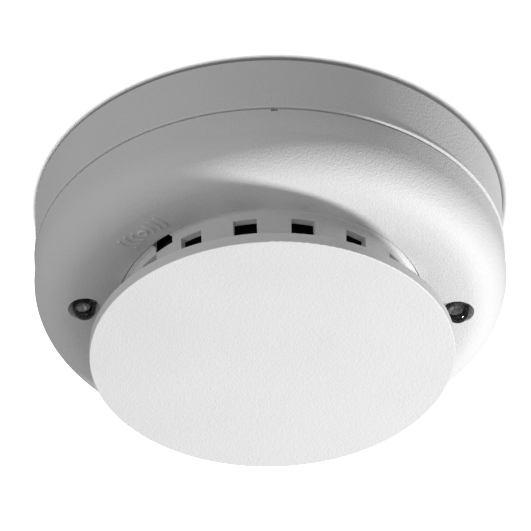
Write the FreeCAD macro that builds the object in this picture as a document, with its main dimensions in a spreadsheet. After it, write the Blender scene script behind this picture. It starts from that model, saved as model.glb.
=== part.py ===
import FreeCAD, Part
import math
import os
import sys

import Sketcher

# A ceiling heat detector: a wired base, and a head that is pushed up into it and turned to lock.
# The frame: millimetres, +Z up, the origin at the centre of the face that lies on the ceiling.
# Angles are degrees about +Z, counter-clockwise seen from above. The front is towards -Y.

V = FreeCAD.Vector
FULL_TURN = 360.0

SIZES = (
    ("housing_radius", 50.0, "Outside radius of the head"),
    ("head_wall", 2.0, "Wall thickness of the head cover"),
    ("head_top", -13.0, "Upper edge of the head cover"),
    ("shoulder_level", -19.2, "Level where the side wall starts to round"),
    ("shoulder_round", 8.0, "Radius of the rounded shoulder"),
    ("mouth_radius", 32.5, "Radius of the cover's mouth, around the cage"),
    ("mouth_level", -25.7, "Level of the mouth's lower edge"),
    ("face_round", 30.8, "Radius of the slightly domed face round the mouth"),
    ("edge_round", 0.35, "Small radius on moulded edges"),
    ("rim_radius", 49.7, "Outside radius of the head's upper edge, less the draft"),
    ("embed", 1.0, "How far a feature runs into the piece that it grows from"),
    ("notch_width", 1.4, "Width of the index notch in the seam"),
    ("notch_depth", 0.7, "Depth and height of the index notch"),
    ("notch_offset", 1.7, "Distance of the notch from the front line"),
    ("boss_radius", 2.6, "Radius of a screw boss in the head cover"),
    ("boss_circle", 44.9, "Circle of the head cover's bosses"),
    ("boss_foot", -24.4, "Level where a boss runs into the shoulder"),
    ("boss_blind", 2.0, "Solid end of a boss below its screw hole"),
    ("boss_angle", 30.0, "Angle of the first boss"),
    ("led_circle", 39.4, "Circle of the two LEDs"),
    ("led_angle", 3.1, "Angle of the first LED"),
    ("led_radius", 2.5, "Radius of an LED's lens"),
    ("led_clearance", 0.1, "Gap between an LED and its hole"),
    ("led_tip", -29.6, "Level of an LED's tip"),
    ("led_flange", 2.9, "Radius of an LED's flange"),
    ("flange_thickness", 1.0, "Thickness of an LED's flange"),
    ("led_seat", -20.9, "Level where an LED's flange sits in its holder"),
    ("holder_radius", 3.6, "Outside radius of an LED holder"),
    ("holder_foot", -24.4, "Lower edge of an LED holder, behind the cover"),
    ("recess_mouth", 3.6, "Radius of the LED recess at the surface"),
    ("recess_depth", 1.5, "Depth of the tapered LED recess"),
    ("cage_flange", 34.0, "Radius of the cage's hidden flange"),
    ("cage_flange_top", -22.3, "Upper face of the cage's flange"),
    ("cage_root", 32.2, "Radius of the cage's root in the mouth"),
    ("cage_step", -25.5, "Level of the step below the root"),
    ("cage_outer_top", 31.2, "Outer radius of the cage wall at the step"),
    ("cage_outer_foot", 30.6, "Outer radius of the cage wall at the disc"),
    ("cage_inner", 29.5, "Inner radius of the cage"),
    ("window_count", 16, "Number of air windows"),
    ("window_width", 5.0, "Width of an air window"),
    ("window_top", -27.2, "Upper edge of an air window"),
    ("window_foot", -35.2, "Lower edge of an air window"),
    ("window_angle", -9.3, "Angle of the first window from the front line"),
    ("latch_angle", -45.2, "Angle of the latch slot from the front line"),
    ("latch_width", 5.0, "Width of the latch slot"),
    ("latch_foot", -27.0, "Lower edge of the latch slot"),
    ("latch_top", -21.5, "Upper edge of the latch slot, through the cage's flange"),
    ("relief_width", 8.0, "Width of the relief behind the latch slot"),
    ("relief_reach", 30.7, "Outer radius of the relief behind the latch slot"),
    ("disc_radius", 38.5, "Radius of the front disc"),
    ("disc_back", -36.95, "Back face of the front disc"),
    ("disc_face", -39.5, "Front face of the front disc"),
    ("disc_edge", 0.2, "Small radius on the front disc's edges"),
    ("spigot_wall", 1.8, "Wall of the disc's spigot in the cage"),
    ("spigot_gap", 3.0, "Width of the gaps in the spigot"),
    ("spigot_top", -35.2, "Upper edge of the disc's spigot"),
    ("slip", 0.1, "Radial gap of a slip fit"),
    ("base_radius", 49.7, "Outside radius of the base"),
    ("base_wall", 2.7, "Wall thickness of the base"),
    ("base_floor", 2.0, "Floor thickness of the base"),
    ("base_edge", -12.75, "Lower edge of the base wall"),
    ("base_chamfer", 0.27, "Chamfer round the base's lower edge"),
    ("lip_radius", 50.0, "Radius of the lip round the base's lower edge"),
    ("lip_top", -11.9, "Level where the lip leaves the base's wall"),
    ("cable_radius", 9.0, "Radius of the cable entry"),
    ("pocket_near", 14.0, "Inner radius of the shallow pockets in the ceiling face"),
    ("pocket_far", 45.5, "Outer radius of the shallow pockets"),
    ("pocket_half", 22.0, "Half the angle of a shallow pocket"),
    ("pocket_depth", 0.8, "Depth of a shallow pocket"),
    ("pocket_angle", 30.0, "Angle of the first shallow pocket"),
    ("slot_radius", 2.1, "Half width of a fixing slot"),
    ("slot_spacing", 60.0, "Distance between the fixing slots' middles"),
    ("slot_length", 8.0, "Length of a fixing slot, end to end"),
    ("ledge_inner", 42.2, "Inner radius of a bayonet ledge"),
    ("ledge_low", -11.5, "Lower face of a bayonet ledge"),
    ("ledge_high", -9.3, "Upper face of a bayonet ledge"),
    ("ledge_arc", 20.0, "Arc of a bayonet ledge"),
    ("lug_angle", 0.0, "Angle of the first lug, unlocked"),
    ("twist", 18.0, "Turn that locks the head"),
    ("stop_arc", 2.0, "Arc of the stop at a ledge's far end"),
    ("lug_outer", 44.6, "Outer radius of a bayonet lug"),
    ("lug_low", -9.0, "Lower face of a bayonet lug"),
    ("lug_high", -6.5, "Upper face of a bayonet lug"),
    ("lug_arc", 14.0, "Arc of a bayonet lug"),
    ("neck_outer", 41.5, "Outer radius of the rear cover's neck"),
    ("neck_inner", 39.2, "Inner radius of the rear cover's neck"),
    ("rear_rim", 47.9, "Radius of the rear cover"),
    ("rear_top", -14.0, "Upper face of the rear cover"),
    ("rear_low", -15.5, "Lower face of the rear cover"),
    ("seal_inner", 42.2, "Inner radius of the seal ring"),
    ("seal_outer", 46.3, "Outer radius of the seal ring"),
    ("seal_high", -11.9, "Upper face of the seal ring"),
    ("seal_low", -13.8, "Lower face of the seal ring"),
    ("seal_bevel", 0.4, "Bevel on the seal ring's outer edge"),
    ("quarter", 90.0, "Angle between two terminals"),
    ("block_near", 21.0, "Inner end of a terminal block"),
    ("block_far", 33.5, "Outer end of a terminal block"),
    ("block_half", 4.5, "Half width of a terminal block"),
    ("block_low", -5.0, "Lower face of a terminal block"),
    ("block_angle", 45.0, "Angle of the first terminal block"),
    ("screw_circle", 25.5, "Circle of the terminal screws"),
    ("screw_shank", 1.5, "Radius of a terminal screw's shank"),
    ("screw_tip", -2.0, "Level of a terminal screw's tip"),
    ("tip_room", 0.4, "Room beyond a terminal screw's tip"),
    ("screw_hole", 1.56, "Radius of the holes that a terminal screw turns in"),
    ("screw_head", 2.8, "Radius of a terminal screw's head"),
    ("screw_head_height", 2.0, "Height of a terminal screw's head"),
    ("screw_crown", 0.8, "Radius of the rounding on a terminal screw's head"),
    ("driver_slot", 0.8, "Width of the driver slot"),
    ("driver_depth", 0.9, "Depth of the driver slot"),
    ("strip", 0.5, "Thickness of the contact spring's strip"),
    ("strip_half", 3.7, "Half width of the contact spring's foot"),
    ("clamp_half", 3.65, "Half width of a clamp plate"),
    ("clamp_thickness", 0.8, "Thickness of a clamp plate"),
    ("leaf_near", 28.0, "Inner side of the spring's leaf"),
    ("leaf_far", 33.0, "Outer side of the spring's leaf"),
    ("leaf_reach", 8.5, "Reach of the spring's leaf along the circle"),
    ("leaf_flat", 2.0, "Length of the flat at the leaf's end"),
    ("leaf_low", -8.0, "Lowest level of the spring's leaf"),
    ("blade_lag", 31.5, "Angle from a terminal back to its blade, unlocked"),
    ("blade_half", 1.0, "Half thickness of a blade's bent foot"),
    ("blade_thickness", 0.8, "Thickness of a contact blade"),
    ("blade_near", 28.5, "Inner side of a contact blade"),
    ("blade_far", 32.5, "Outer side of a contact blade"),
    ("blade_high", -8.3, "Top of a contact blade"),
    ("board_radius", 41.6, "Radius of the circuit board"),
    ("board_top", -17.5, "Upper face of the circuit board"),
    ("board_low", -19.1, "Lower face of the circuit board"),
    ("post_circle", 34.0, "Circle of the board's posts"),
    ("post_radius", 2.8, "Radius of a board post"),
    ("board_screw_shank", 1.1, "Radius of a small screw's shank"),
    ("board_screw_head", 2.1, "Radius of a small screw's head"),
    ("board_screw_height", 1.4, "Height of a board screw's head"),
    ("board_screw_bite", 0.4, "How far a board screw runs past the plate's face"),
    ("screw_sink", 1.2, "Depth of a cover screw's sunk head"),
    ("cover_screw_tip", -21.9, "Level of a cover screw's tip"),
    ("lead_bore", 1.6, "Radius of the bore for an LED's leads"),
    ("carrier_plate_top", -23.9, "Upper face of the carrier's plate"),
    ("carrier_plate_low", -25.6, "Lower face of the carrier's plate"),
    ("guide_outer", 26.6, "Outer radius of the carrier's air guide"),
    ("guide_inner", 25.2, "Inner radius of the carrier's air guide"),
    ("foot_circle", 21.0, "Circle of the carrier's feet"),
    ("guide_foot", -33.5, "Lower edge of the air guide"),
    ("stalk_root", 5.0, "Radius of the stalk at the plate"),
    ("stalk_tip", 2.6, "Radius of the stalk at its tip"),
    ("stalk_foot", -30.0, "Level of the stalk's tip"),
    ("bead_radius", 1.3, "Radius of the sensing bead"),
    ("bead_level", -32.6, "Level of the sensing bead's middle"),
    ("sleeve_radius", 0.7, "Radius of the sleeve above the bead"),
    ("chip_lift", 0.2, "Gap under a component that stands on leads"),
    ("lead_reach", 0.6, "How far a component's lead stands out"),
    ("can_foot", 0.8, "Height of the capacitor's square foot"),
    ("can_foot_half", 2.7, "Half width of the capacitor's foot"),
    ("can_radius", 2.5, "Radius of the capacitor's can"),
    ("reed_circle", 37.0, "Circle of the reed switch"),
    ("reed_angle", 225.5, "Angle of the reed switch, under the target mark"),
    ("reed_half", 5.0, "Half length of the reed's glass"),
    ("reed_lift", 1.6, "Height of the reed's middle over the board"),
    ("reed_radius", 1.0, "Radius of the reed's glass"),
    ("reed_wire", 0.3, "Half width of the reed's wires"),
    ("resistor_height", 0.6, "Height of a chip resistor"),
)


class Size:
    """A number from the sheet, with the formula that keeps it bound to the sheet."""

    def __init__(self, value, formula):
        self.value = float(value)
        self.formula = formula

    def _join(self, other, sign, value):
        return Size(value, "(%s %s %s)" % (self.formula, sign, formula_of(other)))

    def __add__(self, other):
        return self._join(other, "+", self.value + value_of(other))

    def __sub__(self, other):
        return self._join(other, "-", self.value - value_of(other))

    def __mul__(self, other):
        return self._join(other, "*", self.value * value_of(other))

    def __truediv__(self, other):
        return self._join(other, "/", self.value / value_of(other))

    def __rsub__(self, other):
        return Size(value_of(other), formula_of(other)) - self

    def __rtruediv__(self, other):
        return Size(value_of(other), formula_of(other)) / self

    def __neg__(self):
        return Size(-self.value, "(0 - %s)" % self.formula)

    __radd__ = __add__
    __rmul__ = __mul__


def value_of(number):
    return number.value if isinstance(number, Size) else float(number)


def formula_of(number):
    return number.formula if isinstance(number, Size) else repr(float(number))


def polar(radius, angle):
    """The X and Y of a point on a circle, both bound to the sheet."""
    turn = math.radians(value_of(angle))
    text = "%s * %%s(%s * 1deg)" % (formula_of(radius), formula_of(angle))
    return (Size(value_of(radius) * math.cos(turn), "(%s)" % (text % "cos")),
            Size(value_of(radius) * math.sin(turn), "(%s)" % (text % "sin")))


doc = FreeCAD.newDocument("heat_detector")
sheet = doc.addObject("Spreadsheet::Sheet", "Sizes")
S = type("Sheet", (), {})()
for row, (alias, number, note) in enumerate(SIZES, start=1):
    sheet.set("A%d" % row, note)
    sheet.set("B%d" % row, str(number))
    sheet.setAlias("B%d" % row, alias)
    setattr(S, alias, Size(number, "Sizes." + alias))
doc.recompute()

sub_parts = []


def bind(item, name, number):
    """Set a property, and bind it to the sheet when the number comes from there."""
    if isinstance(number, Size):
        item.setExpression(name, number.formula)
    elif "." not in name:
        setattr(item, name, number)


def new_body(label, x=0.0, y=0.0, z=0.0, turn=0.0):
    body = doc.addObject("PartDesign::Body", label)
    body.Label = label
    body.Placement = FreeCAD.Placement(V(value_of(x), value_of(y), value_of(z)),
                                       FreeCAD.Rotation(V(0, 0, 1), value_of(turn)))
    for name, number in (("Base.x", x), ("Base.y", y), ("Base.z", z), ("Rotation.Angle", turn)):
        bind(body, "Placement." + name, number)
    sub_parts.append(body)
    return body


def plane_of(body, role):
    return next(item for item in body.Origin.OriginFeatures if item.Role == role)


def new_sketch(body, name, role, level=0.0, turn=0.0):
    """A sketch on one of the body's own planes: lifted by level, and turned about Z."""
    sketch = body.newObject("Sketcher::SketchObject", name)
    sketch.AttachmentSupport = [(plane_of(body, role), "")]
    sketch.MapMode = "FlatFace"
    axis = V(0, 0, 1) if role == "XY_Plane" else V(0, 1, 0)
    sketch.AttachmentOffset = FreeCAD.Placement(V(0, 0, value_of(level)),
                                                FreeCAD.Rotation(axis, value_of(turn)))
    bind(sketch, "AttachmentOffset.Base.z", level)
    bind(sketch, "AttachmentOffset.Rotation.Angle", turn)
    return sketch


def fix_number(sketch, constraint, number):
    index = sketch.addConstraint(constraint)
    if isinstance(number, Size):
        sketch.setExpression("Constraints[%d]" % index, number.formula)


def fix_point(sketch, item, vertex, x, y):
    """Hold a vertex at its X and Y from the sketch's origin."""
    for kind, axis, number in (("DistanceX", -2, x), ("DistanceY", -1, y)):
        if value_of(number) == 0.0:
            sketch.addConstraint(Sketcher.Constraint("PointOnObject", item, vertex, axis))
        else:
            rule = Sketcher.Constraint(kind, -1, 1, item, vertex, value_of(number))
            fix_number(sketch, rule, number)


def arc_between(start, end, radius):
    """The shorter arc from start to end; a positive radius turns left, a negative one right."""
    if radius < 0:
        return arc_between(end, start, -radius)
    chord = end - start
    left = V(-chord.y, chord.x, 0).normalize()
    centre = (start + end) * 0.5 + left * math.sqrt(radius ** 2 - (chord.Length / 2) ** 2)
    first = math.atan2(start.y - centre.y, start.x - centre.x)
    last = math.atan2(end.y - centre.y, end.x - centre.x)
    if last < first:
        last += 2 * math.pi
    return Part.ArcOfCircle(Part.Circle(centre, V(0, 0, 1), radius), first, last)


def draw_outline(sketch, corners):
    """A closed outline. A corner is (x, y), or (x, y, radius) where an arc leads to the next."""
    count = len(corners)
    points = [V(value_of(corner[0]), value_of(corner[1]), 0) for corner in corners]
    first_item = sketch.GeometryCount
    ends = []
    for index, corner in enumerate(corners):
        start = points[index]
        end = points[(index + 1) % count]
        item = first_item + index
        if len(corner) == 3:
            radius = corner[2]
            sketch.addGeometry(arc_between(start, end, value_of(radius)), False)
            size = -radius if value_of(radius) < 0 else radius
            fix_number(sketch, Sketcher.Constraint("Radius", item, value_of(size)), size)
            ends.append((1, 2) if value_of(radius) > 0 else (2, 1))
        else:
            sketch.addGeometry(Part.LineSegment(start, end), False)
            ends.append((1, 2))
    for index, corner in enumerate(corners):
        item = first_item + index
        following = (index + 1) % count
        sketch.addConstraint(Sketcher.Constraint("Coincident", item, ends[index][1],
                                                 first_item + following, ends[following][0]))
        fix_point(sketch, item, ends[index][0], corner[0], corner[1])


def draw_circle(sketch, x, y, radius):
    item = sketch.GeometryCount
    centre = V(value_of(x), value_of(y), 0)
    sketch.addGeometry(Part.Circle(centre, V(0, 0, 1), value_of(radius)), False)
    fix_number(sketch, Sketcher.Constraint("Radius", item, value_of(radius)), radius)
    fix_point(sketch, item, 3, x, y)


def draw_all(sketch, shapes):
    """Each shape is a circle (x, y, radius) or a list of corners."""
    for shape in shapes:
        if isinstance(shape, tuple):
            draw_circle(sketch, *shape)
        else:
            draw_outline(sketch, shape)


def turned(body, name, corners, arc=FULL_TURN, turn=0.0):
    """Add a solid of revolution about the body's Z axis; a part turn is centred on its angle."""
    sketch = new_sketch(body, name + "_outline", "XZ_Plane", turn=turn)
    draw_outline(sketch, corners)
    feature = body.newObject("PartDesign::Revolution", name)
    feature.Profile = sketch
    feature.ReferenceAxis = (sketch, ["V_Axis"])
    bind(feature, "Angle", arc)
    feature.Midplane = value_of(arc) < FULL_TURN
    return feature


def raised(body, name, shapes, low, high, turn=0.0):
    """Add a prism between two levels."""
    sketch = new_sketch(body, name + "_outline", "XY_Plane", low, turn)
    draw_all(sketch, shapes)
    feature = body.newObject("PartDesign::Pad", name)
    feature.Profile = sketch
    bind(feature, "Length", high - low)
    return feature


def sunk(body, name, shapes, low, high, turn=0.0):
    """Cut a prism between two levels."""
    sketch = new_sketch(body, name + "_outline", "XY_Plane", high, turn)
    draw_all(sketch, shapes)
    feature = body.newObject("PartDesign::Pocket", name)
    feature.Profile = sketch
    bind(feature, "Length", high - low)
    return feature


def pierced(body, name, corners, reach, turn=0.0):
    """Cut from the body's axis outwards towards the front, turned about Z."""
    sketch = new_sketch(body, name + "_outline", "XZ_Plane", turn=turn)
    draw_outline(sketch, corners)
    feature = body.newObject("PartDesign::Pocket", name)
    feature.Profile = sketch
    feature.Reversed = True
    bind(feature, "Length", reach)
    return feature


def repeated(body, name, features, count):
    """Repeat features round the body's Z axis, evenly over a full turn."""
    pattern = body.newObject("PartDesign::PolarPattern", name)
    pattern.Originals = features
    pattern.Axis = (plane_of(body, "Z_Axis"), [""])
    pattern.Angle = FULL_TURN
    bind(pattern, "Occurrences", count)
    body.Tip = pattern
    return pattern


def rectangle(left, right, low, high):
    return [(left, low), (right, low), (right, high), (left, high)]


def sector(near, far, half_angle):
    """A piece of a ring, centred on the X axis."""
    return [polar(near, -half_angle), (*polar(far, -half_angle), far), polar(far, half_angle),
            (*polar(near, half_angle), -near)]


def slot_outline(middle, half_length, radius):
    """A slot along X: two straight sides joined by half rounds, each drawn as two quarter arcs."""
    near = middle - half_length + radius
    far = middle + half_length - radius
    return [(near, -radius), (far, -radius, radius), (far + radius, 0.0, radius), (far, radius),
            (near, radius, radius), (near - radius, 0.0, radius)]


# ---- The base, fixed to the ceiling ----

def base_housing():
    """Floor and wall in one moulding, with terminal blocks, bayonet ledges and fixing slots."""
    body = new_body("base_housing")
    inner = S.base_radius - S.base_wall
    ledge_angle = S.lug_angle + S.twist
    turned(body, "shell", [
        (0.0, -S.base_floor), (0.0, 0.0), (S.base_radius, 0.0), (S.base_radius, S.lip_top),
        (S.lip_radius, S.lip_top - S.base_chamfer), (S.lip_radius, S.base_edge + S.base_chamfer),
        (S.lip_radius - S.base_chamfer, S.base_edge), (inner, S.base_edge),
        (inner, -S.base_floor)])
    root = inner + S.embed
    in_floor = S.embed - S.base_floor
    ledge = turned(body, "ledge", rectangle(S.ledge_inner, root, S.ledge_low, S.ledge_high),
                   S.ledge_arc, ledge_angle)
    stop = turned(body, "ledge_stop", rectangle(S.ledge_inner, root, S.ledge_high, in_floor),
                  S.stop_arc, ledge_angle + (S.ledge_arc - S.stop_arc) / 2)
    block = raised(body, "block",
                   [rectangle(S.block_near, S.block_far, -S.block_half, S.block_half)],
                   S.block_low, in_floor, S.block_angle)
    repeated(body, "four_quarters", [ledge, stop, block], 4)
    sunk(body, "screw_holes", [
        (*polar(S.screw_circle, S.block_angle + index * S.quarter), S.screw_hole)
        for index in range(4)], S.block_low, S.screw_tip + S.tip_room)
    pocket = sunk(body, "back_pocket", [sector(S.pocket_near, S.pocket_far, S.pocket_half)],
                  -S.pocket_depth, 0.0, S.pocket_angle)
    repeated(body, "back_pockets", [pocket], 6)
    holes = [(0.0, 0.0, S.cable_radius)]
    for side in (-1.0, 1.0):
        holes.append(slot_outline(S.slot_spacing * (side / 2), S.slot_length / 2, S.slot_radius))
    sunk(body, "entry_and_slots", holes, -S.base_floor, 0.0)


def contact_spring(index):
    """A strip under the clamp plate, with a leaf that a contact blade slides under."""
    body = new_body("contact_spring_%d" % (index + 1), turn=S.block_angle + index * S.quarter)
    foot_low = S.block_low - S.strip
    foot_near = S.block_near + S.strip
    raised(body, "foot", [rectangle(foot_near, S.leaf_far, -S.strip_half, S.strip_half)],
           foot_low, S.block_low)
    sketch = new_sketch(body, "leaf_outline", "YZ_Plane", S.leaf_near)
    edge = -S.strip_half
    knee = S.leaf_flat - S.leaf_reach
    draw_outline(sketch, [
        (edge, S.block_low), (edge, foot_low), (knee, S.leaf_low),
        (-S.leaf_reach, S.leaf_low), (-S.leaf_reach, S.leaf_low + S.strip),
        (knee, S.leaf_low + S.strip)])
    leaf = body.newObject("PartDesign::Pad", "leaf")
    leaf.Profile = sketch
    bind(leaf, "Length", S.leaf_far - S.leaf_near)
    sunk(body, "screw_hole", [(S.screw_circle, 0.0, S.screw_hole)], foot_low, S.block_low)


def clamp_plate(index):
    """A square plate that presses the wire on the strip, with its edges bent up."""
    body = new_body("clamp_plate_%d" % (index + 1), turn=S.block_angle + index * S.quarter)
    high = S.block_low - S.strip
    low = high - S.clamp_thickness
    near = S.screw_circle - S.clamp_half
    far = S.screw_circle + S.clamp_half
    raised(body, "plate", [rectangle(near, far, -S.clamp_half, S.clamp_half)], low, high)
    for side in (-1.0, 1.0):
        edge = S.clamp_half * side
        lip = sorted((edge, edge - S.clamp_thickness * side), key=value_of)
        raised(body, "lip", [rectangle(near, far, *lip)], low - S.clamp_thickness / 2, low)
    sunk(body, "screw_hole", [(S.screw_circle, 0.0, S.screw_hole)],
         low - S.clamp_thickness, high)


def terminal_screw(index):
    """A captive screw, its rounded head towards the head of the detector."""
    x, y = polar(S.screw_circle, S.block_angle + index * S.quarter)
    body = new_body("terminal_screw_%d" % (index + 1), x, y, 0.0, S.block_angle + index * 40.0)
    under = S.block_low - S.strip - S.clamp_thickness
    end = under - S.screw_head_height
    crown = S.screw_crown
    turned(body, "screw", [
        (0.0, end), (S.screw_head - crown, end, crown), (S.screw_head, end + crown),
        (S.screw_head, under), (S.screw_shank, under), (S.screw_shank, S.screw_tip),
        (0.0, S.screw_tip)])
    past = S.screw_head + S.embed
    half_slot = S.driver_slot / 2
    sunk(body, "driver_slot", [rectangle(-past, past, -half_slot, half_slot)],
         end - S.embed, end + S.driver_depth)


# ---- The seal between base and head ----

def seal_ring():
    """A soft ring round the neck that keeps dust out; it drops with the head but doesn't turn."""
    body = new_body("seal_ring")
    turned(body, "ring", [
        (S.seal_inner, S.seal_low), (S.seal_outer - S.seal_bevel, S.seal_low),
        (S.seal_outer, S.seal_low + S.seal_bevel), (S.seal_outer, S.seal_high),
        (S.seal_inner, S.seal_high)])


# ---- The head, which pushes up and turns ----

def head_cover():
    """The white cover: side wall, rounded shoulder and the flat annulus round the cage."""
    body = new_body("head_cover")
    bend = S.housing_radius - S.shoulder_round
    inner = S.housing_radius - S.head_wall
    foot = S.shoulder_level - S.shoulder_round
    turned(body, "shell", [
        (S.mouth_radius, S.mouth_level + S.head_wall),
        (S.mouth_radius, S.mouth_level, S.face_round), (bend, foot, S.shoulder_round),
        (S.housing_radius, S.shoulder_level),
        (S.rim_radius, S.head_top - S.edge_round, S.edge_round),
        (S.rim_radius - S.edge_round, S.head_top), (inner, S.head_top),
        (inner, S.shoulder_level, S.head_wall - S.shoulder_round),
        (bend, foot + S.head_wall, S.head_wall - S.face_round)])
    boss = raised(body, "boss", [(S.boss_circle, 0.0, S.boss_radius)],
                  S.boss_foot, S.rear_low, S.boss_angle)
    repeated(body, "three_bosses", [boss], 3)
    sunk(body, "screw_holes", [
        (*polar(S.boss_circle, S.boss_angle + index * FULL_TURN / 3), S.board_screw_shank)
        for index in range(3)], S.boss_foot + S.boss_blind, S.rear_low)
    hole = S.led_radius + S.led_clearance
    led_angles = (S.led_angle, S.led_angle + FULL_TURN / 2)
    for angle in led_angles:
        led_recess(body, angle, foot, hole)
    sunk(body, "led_holes", [(*polar(S.led_circle, angle), hole) for angle in led_angles],
         foot - S.embed, foot + S.head_wall + 2 * S.embed)
    pierced(body, "index_notch", rectangle(
        S.notch_offset - S.notch_width / 2, S.notch_offset + S.notch_width / 2,
        S.head_top - S.notch_depth, S.head_top + S.embed), S.housing_radius + S.embed)


def led_recess(body, angle, level, hole):
    """The tapered mouth of an LED hole, wide at the cover's outer face."""
    x, y = polar(S.led_circle, angle)
    below = S.embed / 2
    cone = body.newObject("PartDesign::SubtractiveCone", "led_recess")
    cone.AttachmentSupport = [(plane_of(body, "XY_Plane"), "")]
    cone.MapMode = "FlatFace"
    for name, number in (("Base.x", x), ("Base.y", y), ("Base.z", level - below)):
        bind(cone, "AttachmentOffset." + name, number)
    bind(cone, "Radius1", S.recess_mouth + below / 2)
    bind(cone, "Radius2", hole)
    bind(cone, "Height", S.recess_depth + below)


def sensor_cage():
    """The white cage between cover and disc: a short tube with sixteen air windows."""
    body = new_body("sensor_cage")
    under_cover = S.mouth_level + S.head_wall + S.slip
    turned(body, "tube", [
        (S.cage_inner, S.disc_back), (S.cage_outer_foot, S.disc_back),
        (S.cage_outer_top, S.cage_step), (S.cage_root, S.cage_step),
        (S.cage_root, under_cover), (S.cage_flange, under_cover),
        (S.cage_flange, S.cage_flange_top), (S.cage_inner, S.cage_flange_top)])
    half = S.window_width / 2
    window = pierced(body, "window", rectangle(-half, half, S.window_foot, S.window_top),
                     S.cage_flange + S.embed, S.window_angle)
    repeated(body, "windows", [window], S.window_count)
    half = S.latch_width / 2
    pierced(body, "latch_slot", rectangle(-half, half, S.latch_foot, S.latch_top),
            S.cage_root + S.slip, S.latch_angle)
    half = S.relief_width / 2
    pierced(body, "latch_relief", rectangle(-half, half, S.latch_foot, S.latch_top),
            S.relief_reach, S.latch_angle)


def front_disc():
    """The round front plate, with a spigot that snaps into the cage."""
    body = new_body("front_disc")
    outer = S.cage_inner - S.slip
    inner = outer - S.spigot_wall
    turned(body, "plate", [
        (0.0, S.disc_face), (S.disc_radius - S.disc_edge, S.disc_face, S.disc_edge),
        (S.disc_radius, S.disc_face + S.disc_edge),
        (S.disc_radius, S.disc_back - S.disc_edge, S.disc_edge),
        (S.disc_radius - S.disc_edge, S.disc_back), (outer, S.disc_back),
        (outer, S.spigot_top), (inner, S.spigot_top), (inner, S.disc_back), (0.0, S.disc_back)])
    half = S.spigot_gap / 2
    gap = pierced(body, "spigot_gap", rectangle(-half, half, S.disc_back, S.spigot_top),
                  S.cage_inner + S.embed)
    repeated(body, "spigot_gaps", [gap], 8)


def rear_cover():
    """The closed back of the head: a plate with the bayonet neck, its lugs and the board posts."""
    body = new_body("rear_cover")
    turned(body, "plate", [
        (0.0, S.rear_low), (S.rear_rim, S.rear_low), (S.rear_rim, S.rear_top),
        (S.neck_outer, S.rear_top), (S.neck_outer, S.lug_high), (S.neck_inner, S.lug_high),
        (S.neck_inner, S.rear_top), (0.0, S.rear_top)])
    lug = turned(body, "lug", rectangle(
        S.neck_outer - S.embed, S.lug_outer, S.lug_low, S.lug_high), S.lug_arc, S.lug_angle)
    repeated(body, "four_lugs", [lug], 4)
    post = raised(body, "post", [(S.post_circle, 0.0, S.post_radius)], S.board_top, S.rear_low,
                  S.boss_angle)
    repeated(body, "three_posts", [post], 3)
    thirds = [index * FULL_TURN / 3 for index in range(3)]
    sunk(body, "board_screw_holes", [
        (*polar(S.post_circle, S.boss_angle + third), S.board_screw_shank) for third in thirds],
        S.board_top, S.rear_low + S.embed / 2)
    sunk(body, "cover_screw_holes", [
        (*polar(S.boss_circle, S.boss_angle + third), S.board_screw_shank) for third in thirds],
        S.rear_low, S.rear_top)
    sunk(body, "screw_head_seats", [
        (*polar(S.boss_circle, S.boss_angle + third), S.board_screw_head) for third in thirds],
        S.rear_top - S.screw_sink, S.rear_top)
    half = S.blade_thickness / 2
    for index in range(4):
        sunk(body, "blade_slit_%d" % (index + 1), [
            rectangle(S.blade_near, S.blade_far, -half, half)], S.rear_low, S.rear_top,
            blade_turn(index))


def blade_turn(index):
    return S.block_angle + index * S.quarter - S.blade_lag


def contact_blade(index):
    """A flat brass blade: it stands up into the base, and its tail reaches the board."""
    body = new_body("contact_blade_%d" % (index + 1), turn=blade_turn(index))
    half = S.blade_thickness / 2
    raised(body, "blade", [rectangle(S.blade_near, S.blade_far, -half, half)],
           S.board_top, S.blade_high)
    raised(body, "shoulder", [rectangle(S.blade_near, S.blade_far, -S.blade_half, S.blade_half)],
           S.rear_top, S.rear_top + S.blade_thickness)


def circuit_board():
    body = new_body("circuit_board")
    raised(body, "board", [(0.0, 0.0, S.board_radius)], S.board_low, S.board_top)
    sunk(body, "screw_holes", [
        (*polar(S.post_circle, S.boss_angle + index * FULL_TURN / 3), S.board_screw_shank)
        for index in range(3)], S.board_low, S.board_top)


def screw_set(label, circle, under, end, tip):
    """Three small screws: heads from under to end, shanks up or down to the tip."""
    body = new_body(label)
    body.AllowCompound = True
    low, high = sorted((under, end), key=value_of)
    head = raised(body, "head", [(circle, 0.0, S.board_screw_head)], low, high, S.boss_angle)
    low, high = sorted((under, tip), key=value_of)
    shank = raised(body, "shank", [(circle, 0.0, S.board_screw_shank)], low, high, S.boss_angle)
    repeated(body, "set", [head, shank], 3)


def led_holder(label, angle):
    """A black collar on the board: it seats an LED and shields it from the side."""
    x, y = polar(S.led_circle, angle)
    body = new_body(label, x, y, 0.0, angle)
    lens_bore = S.led_flange + S.slip / 2
    turned(body, "collar", [
        (S.lead_bore, S.led_seat), (lens_bore, S.led_seat), (lens_bore, S.holder_foot),
        (S.holder_radius, S.holder_foot), (S.holder_radius, S.board_low),
        (S.lead_bore, S.board_low)])


def led(label, angle):
    """A 5 mm LED: a flange and a lens whose dome stands out of the cover's face."""
    x, y = polar(S.led_circle, angle)
    body = new_body(label, x, y, 0.0, angle)
    dome_level = S.led_tip + S.led_radius
    turned(body, "lens", [
        (0.0, S.led_tip, S.led_radius), (S.led_radius, dome_level),
        (S.led_radius, S.led_seat - S.flange_thickness),
        (S.led_flange, S.led_seat - S.flange_thickness),
        (S.led_flange, S.led_seat), (0.0, S.led_seat)])


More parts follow.
